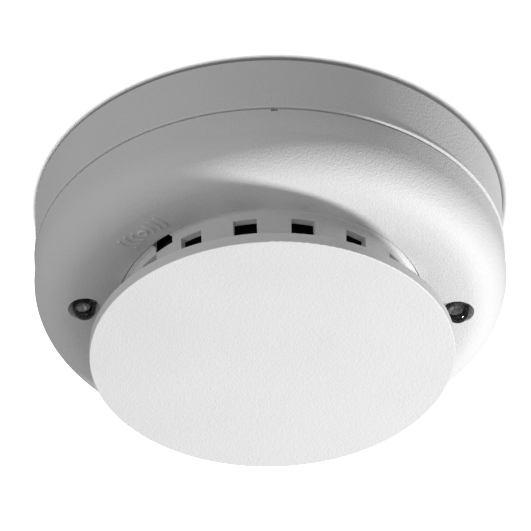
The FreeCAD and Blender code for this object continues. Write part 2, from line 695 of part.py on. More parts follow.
def sensor_carrier():
    """The black carrier in the cage: a plate on three feet, an air guide and the bead's stalk."""
    body = new_body("sensor_carrier")
    rim = S.cage_inner - S.slip
    turned(body, "plate", [
        (0.0, S.stalk_foot), (S.stalk_tip, S.stalk_foot), (S.stalk_root, S.carrier_plate_low),
        (S.guide_inner, S.carrier_plate_low), (S.guide_inner, S.guide_foot),
        (S.guide_outer, S.guide_foot), (S.guide_outer, S.carrier_plate_low),
        (rim, S.carrier_plate_low), (rim, S.carrier_plate_top), (0.0, S.carrier_plate_top)])
    foot = raised(body, "foot", [(S.foot_circle, 0.0, S.post_radius)],
                  S.carrier_plate_top, S.board_low, S.quarter)
    repeated(body, "three_feet", [foot], 3)
    gap = pierced(body, "guide_gap", rectangle(
        -S.stalk_tip, S.stalk_tip, S.guide_foot, S.carrier_plate_low - S.embed),
        S.guide_outer + S.embed, S.window_angle + FULL_TURN / S.window_count / 2)
    repeated(body, "guide_gaps", [gap], 8)


def sensing_thermistor():
    """The glass bead at the tip of the stalk, with its short sleeve."""
    body = new_body("sensing_thermistor")
    shoulder = S.bead_level + S.bead_radius / 2
    turned(body, "bead", [
        (0.0, S.bead_level - S.bead_radius, S.bead_radius), (S.bead_radius, S.bead_level),
        (S.bead_radius, shoulder), (S.sleeve_radius, shoulder + S.sleeve_radius),
        (S.sleeve_radius, S.stalk_foot), (0.0, S.stalk_foot)])


def chip(label, x, y, length, width, height, turn=0.0, leads=0):
    """A component under the board: a moulded block, with rows of leads where it has them."""
    body = new_body(label, x, y, 0.0, turn)
    lift = S.chip_lift if leads else 0.0
    half_length = length / 2
    half_width = width / 2
    raised(body, "block", [rectangle(-half_length, half_length, -half_width, half_width)],
           S.board_low - height, S.board_low - lift)
    if leads:
        pitch = length / leads
        places = [(index + 0.5) * pitch - half_length for index in range(leads)]
        raised(body, "leads", [
            rectangle(place - pitch / 4, place + pitch / 4, S.lead_reach * -1.0 + side * half_width,
                      S.lead_reach + side * half_width)
            for place in places for side in (-1.0, 1.0)],
            S.board_low - height / 2, S.board_low)
    return body


def can_capacitor():
    """An upright electrolytic capacitor on its square foot."""
    body = new_body("reservoir_capacitor", -36.2, 7.4)
    half = S.can_foot_half
    raised(body, "foot", [rectangle(-half, half, -half, half)], S.board_low - S.can_foot,
           S.board_low)
    raised(body, "can", [(0.0, 0.0, S.can_radius)], S.carrier_plate_top + S.can_foot / 2,
           S.board_low - S.can_foot)


def reed_switch():
    """A glass reed on two bent wires, worked by a magnet held at the target mark."""
    body = new_body("reed_switch", *polar(S.reed_circle, S.reed_angle), 0.0,
                    S.reed_angle - S.quarter)
    axis = S.board_low - S.reed_lift
    sketch = new_sketch(body, "glass_outline", "YZ_Plane", -S.reed_half)
    draw_circle(sketch, 0.0, axis, S.reed_radius)
    glass = body.newObject("PartDesign::Pad", "glass")
    glass.Profile = sketch
    bind(glass, "Length", S.reed_half * 2.0)
    wire = S.reed_wire
    place = S.reed_half - wire * 1.5
    raised(body, "wires", [
        rectangle(place - wire, place + wire, -wire, wire),
        rectangle(-place - wire, wire - place, -wire, wire)], axis, S.board_low)


def resistor_group():
    """Small chip resistors and capacitors in two rows under the board."""
    body = new_body("chip_resistors")
    body.AllowCompound = True
    half_length, half_width = 1.0, 0.6
    pitch, first, rows = 3.2, -8.0, (28.6, 31.4)
    places = [(first + pitch * index, y) for index in range(6) for y in rows]
    raised(body, "chips", [
        rectangle(x - half_length, x + half_length, y - half_width, y + half_width)
        for x, y in places], S.board_low - S.resistor_height, S.board_low)


def build_base():
    base_housing()
    for index in range(4):
        contact_spring(index)
        clamp_plate(index)
        terminal_screw(index)


def build_head():
    head_cover()
    rear_cover()
    sensor_cage()
    front_disc()
    sensor_carrier()
    sensing_thermistor()
    circuit_board()
    for index in range(4):
        contact_blade(index)
    for side, angle in (("right", S.led_angle), ("left", S.led_angle + FULL_TURN / 2)):
        led_holder("led_holder_" + side, angle)
        led("led_" + side, angle)
    screw_set("board_screws", S.post_circle, S.board_low, S.board_low - S.board_screw_height,
              S.rear_low - S.board_screw_bite)
    screw_set("cover_screws", S.boss_circle, S.rear_top - S.screw_sink, S.rear_top,
              S.cover_screw_tip)
    chip("microcontroller", -9.0, -30.0, 7.0, 7.0, 1.2, leads=8)
    chip("loop_driver", 12.0, -32.0, 5.0, 4.0, 1.6, leads=4)
    chip("surge_suppressor", 24.0, 25.0, 4.6, 3.4, 2.2, 45.0)
    chip("bridge_rectifier", 33.0, -14.0, 4.8, 4.0, 2.4, -60.0, leads=2)
    chip("reference_thermistor", -16.0, 34.0, 2.0, 1.2, 0.8)
    chip("address_switch", 16.0, 32.0, 9.0, 5.0, 2.0, -26.0, leads=8)
    can_capacitor()
    reed_switch()
    resistor_group()


def check_document():
    """Stop if any object failed, or if a sub-part has no sound solid."""
    for item in doc.Objects:
        if "Invalid" in item.State or "Error" in item.State:
            sys.exit("failed object: %s %s" % (item.Label, item.State))
    for item in sub_parts:
        if item.Shape.isNull() or not item.Shape.isValid() or not item.Shape.Solids:
            sys.exit("no sound solid: " + item.Label)


def write_steps():
    os.makedirs("parts", exist_ok=True)
    for item in sub_parts:
        item.Shape.exportStep("parts/%s.step" % item.Label)
        print("%-22s solids %2d  volume %9.2f mm3" % (
            item.Label, len(item.Shape.Solids), item.Shape.Volume))


build_base()
seal_ring()
build_head()
doc.recompute()
check_document()
write_steps()
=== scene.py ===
"""A ceiling heat detector: finishes, moulded details, ceiling, lights and camera."""
import math

import bmesh
import bpy
from bpy.props import FloatProperty, FloatVectorProperty, PointerProperty
from mathutils import Matrix, Vector


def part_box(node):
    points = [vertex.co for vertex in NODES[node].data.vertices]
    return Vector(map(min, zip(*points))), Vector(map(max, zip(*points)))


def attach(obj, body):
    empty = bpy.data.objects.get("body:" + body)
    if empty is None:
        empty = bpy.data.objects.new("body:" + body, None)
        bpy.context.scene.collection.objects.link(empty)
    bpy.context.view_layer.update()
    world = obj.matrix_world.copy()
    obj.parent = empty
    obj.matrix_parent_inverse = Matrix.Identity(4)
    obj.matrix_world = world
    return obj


bl_info = {
    "name": "Ceiling heat detector",
    "version": (1, 0, 0),
    "blender": (4, 5, 0),
    "location": "View3D > Sidebar > Heat detector",
    "description": "Builds the finishes, moulded details and stage of a ceiling heat detector",
    "category": "Object",
}

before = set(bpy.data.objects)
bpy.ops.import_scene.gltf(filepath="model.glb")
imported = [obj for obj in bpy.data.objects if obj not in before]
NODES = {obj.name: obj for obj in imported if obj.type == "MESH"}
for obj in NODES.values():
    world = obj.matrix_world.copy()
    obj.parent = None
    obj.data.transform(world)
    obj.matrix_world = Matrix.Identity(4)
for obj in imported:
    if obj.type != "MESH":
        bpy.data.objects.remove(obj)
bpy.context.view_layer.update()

MM = 0.001
AMBIENT = 0.28  # strength of the light from all round
CEILING_LEVEL = 0.02 * MM  # just behind the base, so that the two never flicker
COVER_LOW, COVER_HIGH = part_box("head_cover")
SHOULDER_WIDTH = 8.0 * MM
BEND_CIRCLE = COVER_HIGH.x - SHOULDER_WIDTH  # the cover is lowest here, where its shoulder ends
DOME_RADIUS = 30.8 * MM  # arc of the face between that circle and the mouth
BLOCK_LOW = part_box("contact_spring_1")[1].z  # underside of the terminal blocks
REAR_TOP = -14.0 * MM  # back face of the head
TERMINALS = [45.0 + 90.0 * quarter for quarter in range(4)]  # their places in degrees
LAMP_SIDES = ("left", "right")
LEAD_OFFSET = 0.95  # a lamp's leads from the middle of its lens, in millimetres
MARK_RING = 0.9 * MM  # ring in the middle of the magnet mark
MARK_ARCS = ((2.3 * MM, 50.0), (3.9 * MM, 34.0), (5.5 * MM, 25.0))  # their radius and half angle
CUP_OUTLINE = [(0.0, 0.0), (0.35, 0.0), (0.75, -0.45), (0.95, -0.45), (0.95, 0.55),
               (0.55, 0.9), (0.0, 0.9)]  # radius and level, in millimetres
ANVIL_OUTLINE = [(-0.35, -0.5), (0.55, -0.5), (0.55, 0.9), (-0.1, 0.9),
                 (-0.35, 0.4)]  # across and level, in millimetres
ANVIL_THICKNESS = 0.5  # in millimetres
OUTLINED_PARTS = ("surge_suppressor", "bridge_rectifier", "reference_thermistor",
                  "microcontroller", "loop_driver")


# ---- Values a user would change ----

class DetectorSizes(bpy.types.PropertyGroup):
    grain_size: FloatProperty(
        name="Grain size", description="Width of one bump of the moulded texture",
        default=0.5 * MM, min=0.1 * MM, max=3 * MM, subtype="DISTANCE", unit="LENGTH")
    grain_depth: FloatProperty(
        name="Grain depth", description="Depth of the moulded texture",
        default=0.24 * MM, min=0.0, max=2 * MM, subtype="DISTANCE", unit="LENGTH")
    mark_circle: FloatProperty(
        name="Mark circle", description="Circle on which the magnet mark lies",
        default=37.6 * MM, min=34 * MM, max=41 * MM, subtype="DISTANCE", unit="LENGTH")
    mark_angle: FloatProperty(
        name="Mark angle", description="Place of the magnet mark round the cover",
        default=math.radians(225.5), subtype="ANGLE")
    mark_stroke: FloatProperty(
        name="Mark stroke", description="Half the width of the magnet mark's raised lines",
        default=0.26 * MM, min=0.05 * MM, max=1 * MM, subtype="DISTANCE", unit="LENGTH")
    camera_distance: FloatProperty(
        name="Camera distance", description="From the detector's middle to the camera",
        default=1.732, min=0.3, max=10.0, subtype="DISTANCE", unit="LENGTH")
    camera_drop: FloatProperty(
        name="Camera drop", description="Angle of the view below the ceiling's plane",
        default=math.radians(38.95), min=0.0, max=math.radians(89), subtype="ANGLE")
    camera_roll: FloatProperty(
        name="Camera roll", description="Turn of the picture about the line of sight",
        default=math.radians(-1.43), subtype="ANGLE")
    camera_lens: FloatProperty(
        name="Lens", description="Focal length on a 36 mm wide sensor",
        default=551.1, min=20.0, max=2000.0)


class DetectorColours(bpy.types.PropertyGroup):
    cover_white: FloatVectorProperty(
        name="Cover", description="White of the head's mouldings", subtype="COLOR",
        size=3, default=(0.80, 0.80, 0.80), min=0.0, max=1.0)
    base_white: FloatVectorProperty(
        name="Base", description="White of the base ring", subtype="COLOR",
        size=3, default=(0.78, 0.78, 0.78), min=0.0, max=1.0)
    carrier_black: FloatVectorProperty(
        name="Carrier", description="Black of the sensor carrier", subtype="COLOR",
        size=3, default=(0.010, 0.010, 0.010), min=0.0, max=1.0)
    board_green: FloatVectorProperty(
        name="Board", description="Green of the circuit board", subtype="COLOR",
        size=3, default=(0.015, 0.11, 0.045), min=0.0, max=1.0)
    lens_smoke: FloatVectorProperty(
        name="Lamp lens", description="Tint of the lamp lenses", subtype="COLOR",
        size=3, default=(0.42, 0.42, 0.42), min=0.0, max=1.0)


def sizes():
    return bpy.context.scene.detector_sizes


def colours():
    return bpy.context.scene.detector_colours


# ---- Node trees ----

class Wire:
    """A node's output; the operators add Math nodes in the same tree."""

    def __init__(self, sheet, socket):
        self.sheet = sheet
        self.socket = socket

    def _math(self, operation, *values):
        return self.sheet.add("ShaderNodeMath", values, operation=operation)

    def __add__(self, other):
        return self._math("ADD", self, other)

    def __sub__(self, other):
        return self._math("SUBTRACT", self, other)

    def __rsub__(self, other):
        return self._math("SUBTRACT", other, self)

    def __mul__(self, other):
        return self._math("MULTIPLY", self, other)

    def __truediv__(self, other):
        return self._math("DIVIDE", self, other)

    def above(self, edge):
        return self._math("GREATER_THAN", self, edge)

    def abs(self):
        return self._math("ABSOLUTE", self)

    def power(self, exponent):
        return self._math("POWER", self, exponent)

    def smooth(self, low, high, start=0.0, end=1.0):
        """A soft step: start below low, end above high."""
        return self.sheet.add("ShaderNodeMapRange", {
            "Value": self, "From Min": low, "From Max": high, "To Min": start, "To Max": end,
        }, interpolation_type="SMOOTHSTEP")

    __radd__ = __add__
    __rmul__ = __mul__


class Sheet:
    """What a shader tree and a geometry tree share: adding nodes and feeding their sockets."""

    def __init__(self, tree):
        self.tree = tree

    def _feed(self, socket, value):
        if isinstance(value, Wire):
            self.tree.links.new(value.socket, socket)
        elif socket.type == "RGBA" and len(value) == 3:
            socket.default_value = (*value, 1.0)
        else:
            socket.default_value = value

    def add(self, kind, feeds, out=0, **settings):
        """One node: its settings first, then its sockets; gives back one output as a Wire."""
        node = self.tree.nodes.new(kind)
        for name, value in settings.items():
            setattr(node, name, value)
        pairs = feeds.items() if isinstance(feeds, dict) else enumerate(feeds)
        for key, value in pairs:
            self._feed(node.inputs[key], value)
        return Wire(self, node.outputs[out])

    def parts(self, vector):
        """The X, Y and Z of a vector."""
        first = self.add("ShaderNodeSeparateXYZ", {"Vector": vector})
        return [Wire(self, socket) for socket in first.socket.node.outputs]


class Finish(Sheet):
    """One material: its node tree, and the Principled shader that everything ends in."""

    def __init__(self, name, colour, roughness, metallic=0.0, **fixed):
        self.material = bpy.data.materials.new(name)
        self.material.use_nodes = True
        super().__init__(self.material.node_tree)
        self.shader = self.tree.nodes["Principled BSDF"]
        self.set("Base Color", colour)
        self.set("Roughness", roughness)
        self.set("Metallic", metallic)
        for socket, value in fixed.items():
            self.set(socket.replace("_", " "), value)
        self.place = self.add("ShaderNodeTexCoord", {}, out="Object")

    def set(self, socket, value):
        self._feed(self.shader.inputs[socket], value)

    def noise(self, size, detail=2.0, roughness=0.5, stretch=None):
        """A noise field whose bumps are about size wide."""
        place = self.place
        if stretch:
            place = self.add("ShaderNodeMapping", {"Vector": place, "Scale": stretch})
        return self.add("ShaderNodeTexNoise", {
            "Vector": place, "Scale": 1.0 / size, "Detail": detail, "Roughness": roughness},
            out="Fac")

    def mix(self, factor, first, second):
        """A blend of two colours; the Mix node's colour sockets go by their index."""
        return self.add("ShaderNodeMix", {0: factor, 6: first, 7: second}, out=2,
                        data_type="RGBA")

    def bump(self, height, depth, strength=1.0):
        self.set("Normal", self.add("ShaderNodeBump", {
            "Height": height, "Distance": depth, "Strength": strength}, out="Normal"))


def shade(colour, factor):
    return tuple(min(1.0, channel * factor) for channel in colour)


def moulded_white(name, colour, grain_depth, grain_size, roughness=0.52):
    """White thermoplastic from a spark-eroded mould: a fine pebbled skin on a slow waviness."""
    finish = Finish(name, colour, roughness, Specular_IOR_Level=0.45)
    pebble = finish.noise(grain_size, detail=3.0, roughness=0.55)
    fine = finish.noise(grain_size * 0.42, detail=2.0, roughness=0.6)
    slow = finish.noise(18 * MM, detail=2.0)
    height = pebble * 0.7 + fine * 0.3
    tone = (height * 0.6 + slow * 0.4).smooth(0.3, 0.7)
    finish.set("Base Color", finish.mix(tone, shade(colour, 0.975), shade(colour, 1.02)))
    finish.set("Roughness", height * 0.16 + (roughness - 0.08))
    finish.bump(height, grain_depth, strength=0.85)
    return finish.material


def satin_black(name, colour):
    finish = Finish(name, colour, 0.55)
    grain = finish.noise(0.5 * MM, detail=3.0)
    finish.set("Base Color", finish.mix(grain, shade(colour, 0.7), shade(colour, 1.6)))
    finish.set("Roughness", grain * 0.2 + 0.45)
    finish.bump(grain, 0.02 * MM, strength=0.6)
    return finish.material


def soft_rubber(name):
    finish = Finish(name, (0.035, 0.035, 0.036), 0.75)
    grain = finish.noise(0.35 * MM, detail=4.0, roughness=0.65)
    finish.set("Base Color", finish.mix(grain, (0.02, 0.02, 0.02), (0.06, 0.06, 0.06)))
    finish.bump(grain, 0.04 * MM, strength=0.8)
    return finish.material


def metal(name, bright, dull, roughness, streak):
    """Strip or turned metal: streaks of polish, and a little tarnish in patches."""
    finish = Finish(name, bright, roughness, 1.0)
    streaks = finish.noise(0.25 * MM, detail=3.0, roughness=0.6, stretch=streak)
    patches = finish.noise(2.5 * MM, detail=3.0)
    finish.set("Base Color", finish.mix(patches.smooth(0.45, 0.75), bright, dull))
    finish.set("Roughness", streaks * 0.22 + patches * 0.12 + (roughness - 0.15))
    finish.bump(streaks, 0.006 * MM, strength=0.7)
    return finish.material

def board_laminate(name, colour):
    """Green lacquer over glass cloth, with copper tracks that show through as lighter lines."""
    track_pitch, weave_pitch = 2.4 * MM, 0.45 * MM
    finish = Finish(name, colour, 0.35, Coat_Weight=0.35)
    along, across, _ = finish.parts(finish.place)
    wander = finish.noise(9 * MM, detail=0.0)
    bands = along / track_pitch + wander * 5.0
    rows = finish.add("ShaderNodeMath", [bands], operation="FRACT")
    tracks = (rows - 0.5).abs().smooth(0.13, 0.16, start=1.0, end=0.0)
    gate = finish.noise(6 * MM, detail=1.0).above(0.5)
    weave = finish.add("ShaderNodeMath", [across / weave_pitch], operation="SINE").abs()
    copper = tracks * gate
    finish.set("Base Color", finish.mix(copper, shade(colour, 0.85), (0.05, 0.24, 0.09)))
    finish.set("Roughness", weave * 0.08 + 0.3)
    finish.bump(copper * 0.8 + weave * 0.08, 0.03 * MM, strength=0.7)
    return finish.material


def moulded_chip(name):
    finish = Finish(name, (0.022, 0.022, 0.024), 0.5)
    grain = finish.noise(0.2 * MM, detail=2.0)
    finish.set("Base Color", finish.mix(grain, (0.014, 0.014, 0.015), (0.04, 0.04, 0.042)))
    finish.set("Roughness", grain * 0.25 + 0.35)
    finish.bump(grain, 0.01 * MM, strength=0.6)
    return finish.material


def switch_blue(name):
    finish = Finish(name, (0.02, 0.07, 0.28), 0.38)
    grain = finish.noise(0.6 * MM, detail=2.0)
    finish.set("Base Color", finish.mix(grain, (0.015, 0.055, 0.24), (0.03, 0.09, 0.33)))
    finish.set("Roughness", grain * 0.15 + 0.3)
    return finish.material


def clear_lens(name, tint):
    """Cast epoxy or glass, slightly smoky, with a faint flow waviness."""
    polish = 0.01
    finish = Finish(name, tint, polish, IOR=1.54, Transmission_Weight=1.0)
    waves = finish.noise(1.6 * MM, detail=1.0)
    finish.set("Roughness", waves * 0.02 + polish)
    finish.set("Base Color", finish.mix(waves, shade(tint, 0.92), shade(tint, 1.05)))
    return finish.material


FINISHES = {}  # the mouldings' materials, for the pieces that are moulded in one with them


def finish_nodes(material, *names):
    """Give CAD nodes a material in every slot."""
    for name in names:
        slots = NODES[name].data.materials
        slots.clear()
        slots.append(material)


def numbered(stem):
    return ["%s_%d" % (stem, index + 1) for index in range(4)]


class HEAT_OT_finishes(bpy.types.Operator):
    """Give every CAD node its own procedural finish"""
    bl_idname = "heat_detector.finishes"
    bl_label = "Finishes"

    def execute(self, context):
        tint = colours()
        depth, width = sizes().grain_depth, sizes().grain_size
        cover = moulded_white("cover_moulding", tint.cover_white, depth, width)
        base = moulded_white("base_moulding", tint.base_white, depth, width * 1.1)
        disc = moulded_white("disc_moulding", tint.cover_white, depth * 0.8, width * 1.15)
        rear = moulded_white("rear_moulding", tint.base_white, depth * 0.4, width * 2.0, 0.42)
        FINISHES.update(cover=cover, base=base, disc=disc, rear=rear)
        finish_nodes(cover, "head_cover", "sensor_cage")
        finish_nodes(disc, "front_disc")
        finish_nodes(base, "base_housing")
        finish_nodes(rear, "rear_cover")
        finish_nodes(satin_black("carrier_black", tint.carrier_black), "sensor_carrier",
                     "led_holder_left", "led_holder_right")
        finish_nodes(soft_rubber("seal_rubber"), "seal_ring")
        finish_nodes(metal("spring_bronze", (0.72, 0.50, 0.26), (0.45, 0.28, 0.14), 0.3,
                           (1.0, 6.0, 1.0)), *numbered("contact_spring"))
        finish_nodes(metal("blade_brass", (0.80, 0.62, 0.30), (0.55, 0.40, 0.18), 0.28,
                           (1.0, 1.0, 6.0)), *numbered("contact_blade"))
        finish_nodes(metal("zinc_plate", (0.70, 0.71, 0.73), (0.50, 0.51, 0.52), 0.32,
                           (4.0, 1.0, 1.0)), *numbered("clamp_plate"), *numbered("terminal_screw"),
                     "board_screws", "cover_screws")
        finish_nodes(board_laminate("board_laminate", tint.board_green), "circuit_board")
        finish_nodes(moulded_chip("chip_epoxy"), "microcontroller", "loop_driver",
                     "surge_suppressor", "bridge_rectifier", "reference_thermistor",
                     "chip_resistors")
        finish_nodes(switch_blue("switch_body"), "address_switch")
        finish_nodes(metal("can_aluminium", (0.78, 0.78, 0.80), (0.62, 0.62, 0.64), 0.35,
                           (1.0, 1.0, 5.0)), "reservoir_capacitor")
        finish_nodes(clear_lens("lamp_lens", tint.lens_smoke), "led_left", "led_right")
        finish_nodes(clear_lens("bead_glass", (0.75, 0.62, 0.5)), "sensing_thermistor",
                     "reed_switch")
        return {"FINISHED"}


# ---- Geometry helpers ----

class Tree(Sheet):
    """A geometry node tree with named inputs; it is run once and leaves a plain mesh."""

    def __init__(self, name):
        super().__init__(bpy.data.node_groups.new(name, "GeometryNodeTree"))
        for way in ("INPUT", "OUTPUT"):
            self.tree.interface.new_socket("Geometry", in_out=way,
                                           socket_type="NodeSocketGeometry")
        self.entry = self.tree.nodes.new("NodeGroupInput")
        self.exit = self.tree.nodes.new("NodeGroupOutput")
        self.start = Wire(self, self.entry.outputs["Geometry"])

    def value(self, name, kind="Float", default=None):
        """One more named input."""
        socket = self.tree.interface.new_socket(
            name, in_out="INPUT", socket_type="NodeSocket" + kind)
        if default is not None:
            socket.default_value = default
        return Wire(self, self.entry.outputs[name])

    def sweep(self, path, radius):
        """A round bead along a path, with closed ends."""
        section = self.add("GeometryNodeCurvePrimitiveCircle", {
            "Resolution": 12, "Radius": radius})
        return self.add("GeometryNodeCurveToMesh", {
            "Curve": path, "Profile Curve": section, "Fill Caps": True})

    def end(self, shape):
        """Realize the instances, give them the Material input, and close the tree."""
        finish = self.value("Material", "Material")
        real = self.add("GeometryNodeRealizeInstances", {"Geometry": shape})
        done = self.add("GeometryNodeSetMaterial", {"Geometry": real, "Material": finish})
        self.tree.links.new(done.socket, self.exit.inputs["Geometry"])


def linked(name, data):
    piece = bpy.data.objects.new(name, data)
    bpy.context.scene.collection.objects.link(piece)
    return piece


def grown(name, seedling, sheet, material, body, slot, **values):
    """Run a tree on seedling data; the evaluated mesh becomes a piece that rides on a body."""
    source = linked(name + "_source", seedling)
    modifier = source.modifiers.new("build", "NODES")
    modifier.node_group = sheet.tree
    given = dict(values, Material=material)
    for item in sheet.tree.interface.items_tree:
        key = item.name.replace(" ", "_")
        if item.in_out == "INPUT" and key in given:
            modifier[item.identifier] = given[key]
    source.update_tag()
    view = bpy.context.evaluated_depsgraph_get()
    mesh = bpy.data.meshes.new_from_object(source.evaluated_get(view), depsgraph=view)
    bpy.data.objects.remove(source)
    return fitted(name, mesh, material, body)


def fitted(name, mesh, material, body):
    """Close a mesh, face it outwards, smooth it up to its edges, and set it on its body."""
    weld, sharp = 0.001 * MM, math.radians(35)
    work = bmesh.new()
    work.from_mesh(mesh)
    bmesh.ops.remove_doubles(work, verts=work.verts, dist=weld)
    bmesh.ops.recalc_face_normals(work, faces=work.faces)
    for face in work.faces:
        face.smooth = True
    for edge in work.edges:
        edge.smooth = edge.calc_face_angle(0.0) < sharp
    work.to_mesh(mesh)
    work.free()
    if not mesh.polygons:
        raise RuntimeError(name + " has no faces")
    mesh.materials.clear()
    mesh.materials.append(material)
    piece = linked(name, mesh)
    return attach(piece, body)


def path_data(name, strokes, closed=False):
    """Curve data with one straight-sided spline for each list of points."""
    data = bpy.data.curves.new(name, "CURVE")
    data.dimensions = "3D"
    for points in strokes:
        spline = data.splines.new("POLY")
        spline.points.add(len(points) - 1)
        for place, point in zip(spline.points, points):
            place.co = (*point, 1.0)
        spline.use_cyclic_u = closed or points[0] == points[-1]
    return data


def point_data(name, points):
    mesh = bpy.data.meshes.new(name)
    mesh.from_pydata([tuple(point) for point in points], [], [])
    return mesh


def around(radius, degrees, level=0.0):
    """A point on a circle about the detector's axis."""
    angle = math.radians(degrees)
    return Vector((radius * math.cos(angle), radius * math.sin(angle), level))


def ring_points(radius, level, steps=72, start=0.0, sweep=360.0):
    """Points on a circle; an arc, when sweep is less than a whole turn, has both its ends."""
    count = steps if sweep >= 360.0 else steps + 1
    return [around(radius, start + sweep * index / steps, level) for index in range(count)]


def whole_ring(radius, level, steps=72):
    """A circle that ends on its first point, to stand beside open strokes."""
    ring = ring_points(radius, level, steps)
    return ring + ring[:1]


def wire_tree():
    """A round wire along each path."""
    sheet = Tree("round_wire")
    radius = sheet.value("Radius", default=0.25 * MM)
    step = sheet.value("Step", default=0.3 * MM)
    path = sheet.add("GeometryNodeResampleCurve", {"Curve": sheet.start, "Length": step},
                     mode="LENGTH")
    sheet.end(sheet.sweep(path, radius))
    return sheet


def raised_mark_tree():
    """Strokes drawn flat, then wrapped on the domed face round the mouth as raised beads."""
    sheet = Tree("raised_marks")
    circle, angle, foot, bend, dome, bead, sunk = [sheet.value(name) for name in (
        "Circle", "Angle", "Foot level", "Bend circle", "Dome radius", "Bead", "Sunk")]
    path = sheet.add("GeometryNodeResampleCurve", {"Curve": sheet.start, "Length": bead},
                     mode="LENGTH")
    across, out, _ = sheet.parts(sheet.add("GeometryNodeInputPosition", {}))
    radius = circle + out
    turn = angle + across / circle
    rise = bend - radius
    level = foot + dome - (dome * dome - rise * rise).power(0.5) + sunk
    place = sheet.add("ShaderNodeCombineXYZ", {
        "X": radius * sheet.add("ShaderNodeMath", [turn], operation="COSINE"),
        "Y": radius * sheet.add("ShaderNodeMath", [turn], operation="SINE"), "Z": level})
    wrapped = sheet.add("GeometryNodeSetPosition", {"Geometry": path, "Position": place})
    sheet.end(sheet.sweep(wrapped, bead))
    return sheet


def scatter_tree(kind, **shape):
    """One small solid at each point, each turned and sized a little differently."""
    sheet = Tree("small_parts")
    seed = sheet.value("Seed", "Int", 7)
    least = sheet.value("Least", default=0.9)
    most = sheet.value("Most", default=1.1)
    solid = sheet.add(kind, shape, out="Mesh")
    spin = sheet.add("FunctionNodeRandomValue", {
        "Min": (0, 0, 0), "Max": (0, 0, math.tau), "Seed": seed}, data_type="FLOAT_VECTOR")
    size = sheet.add("FunctionNodeRandomValue", {2: least, 3: most, "Seed": seed}, out=1)
    sheet.end(sheet.add("GeometryNodeInstanceOnPoints", {
        "Points": sheet.start, "Instance": solid, "Rotation": spin, "Scale": size}))
    return sheet


# ---- Pieces ----

class HEAT_OT_magnet_mark(bpy.types.Operator):
    """Raise the mark on the cover that shows where a test magnet is held"""
    bl_idname = "heat_detector.magnet_mark"
    bl_label = "Magnet mark"

    def execute(self, context):
        values = sizes()
        proud = 0.4 * values.mark_stroke
        strokes = [whole_ring(MARK_RING, 0.0, 24)]
        for reach, half in MARK_ARCS:
            for middle in (0.0, 180.0):
                strokes.append(ring_points(reach, 0.0, 16, middle - half, 2 * half))
        grown("magnet_mark", path_data("magnet_mark", strokes), raised_mark_tree(),
              FINISHES["cover"], "head", "cover_plastic",
              Circle=values.mark_circle, Angle=values.mark_angle, Foot_level=COVER_LOW.z,
              Bend_circle=BEND_CIRCLE, Dome_radius=DOME_RADIUS, Bead=values.mark_stroke,
              Sunk=-proud)
        return {"FINISHED"}


def turned_mesh(name, outline, centre, steps=32):
    """A closed solid of revolution from an outline of (radius, level) in millimetres."""
    work = bmesh.new()
    rings = []
    for radius, level in outline:
        if radius == 0.0:
            rings.append([work.verts.new(Vector(centre) + Vector((0, 0, level * MM)))])
        else:
            rings.append([work.verts.new(Vector(centre) + around(
                radius * MM, 360.0 * index / steps, level * MM)) for index in range(steps)])
    for near, far in zip(rings, rings[1:]):
        for index in range(steps):
            after = (index + 1) % steps
            corners = [near[index % len(near)], near[after % len(near)],
                       far[after % len(far)], far[index % len(far)]]
            work.faces.new(list(dict.fromkeys(corners)))
    mesh = bpy.data.meshes.new(name)
    work.to_mesh(mesh)
    work.free()
    return mesh


def plate_mesh(name, outline, thickness, centre):
    """A small upright plate with rounded edges; outline is (across, level) in millimetres."""
    edge_radius = 0.06 * MM
    work = bmesh.new()
    face = work.faces.new([
        work.verts.new(Vector(centre) + Vector((across, -thickness / 2, level)) * MM)
        for across, level in outline])
    extruded = bmesh.ops.extrude_face_region(work, geom=[face])
    moved = [item for item in extruded["geom"] if isinstance(item, bmesh.types.BMVert)]
    bmesh.ops.translate(work, verts=moved, vec=Vector((0, thickness * MM, 0)))
    bmesh.ops.bevel(work, geom=list(work.edges), offset=edge_radius, segments=2, profile=0.5,
                    affect="EDGES")
    mesh = bpy.data.meshes.new(name)
    work.to_mesh(mesh)
    work.free()
    return mesh


def lamp_frame(side, wires, steel):
    """One lamp's insides: two leads from the board, the cup and anvil they hold, the bond wire."""
    low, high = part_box("led_" + side)
    middle = (low + high) / 2
    cup = low.z + 3.3 * MM
    board = (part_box("circuit_board")[1].z - cup) / MM + 0.7

    def at(across, level):
        """A point in the lamp's middle plane, in millimetres from the middle of the cup."""
        return Vector((middle.x + across * MM, middle.y, cup + level * MM))

    leads = [
        [at(-LEAD_OFFSET, board), at(-LEAD_OFFSET, 1.9), at(0.35 - LEAD_OFFSET, 1.2),
         at(0.5 - LEAD_OFFSET, 0.5)],
        [at(LEAD_OFFSET, board), at(LEAD_OFFSET, 0.9)]]
    grown("lamp_leads_" + side, path_data("leads", leads), wires, steel, "head",
          "plated_steel", Radius=0.26 * MM, Step=0.4 * MM)
    bond = [at(0.5 - LEAD_OFFSET, 0.15), at(0.1, -0.35), at(LEAD_OFFSET - 0.15, 0.15),
            at(LEAD_OFFSET, 0.6)]
    grown("lamp_bond_wire_" + side, path_data("bond", [bond]), wires, steel, "head",
          "plated_steel", Radius=0.05 * MM, Step=0.15 * MM)
    fitted("lamp_cup_" + side, turned_mesh("cup", CUP_OUTLINE, at(-0.25, 0.0)), steel,
           "head")
    fitted("lamp_anvil_" + side, plate_mesh(
        "anvil", ANVIL_OUTLINE, ANVIL_THICKNESS, at(LEAD_OFFSET, 1.1)), steel,
        "head")


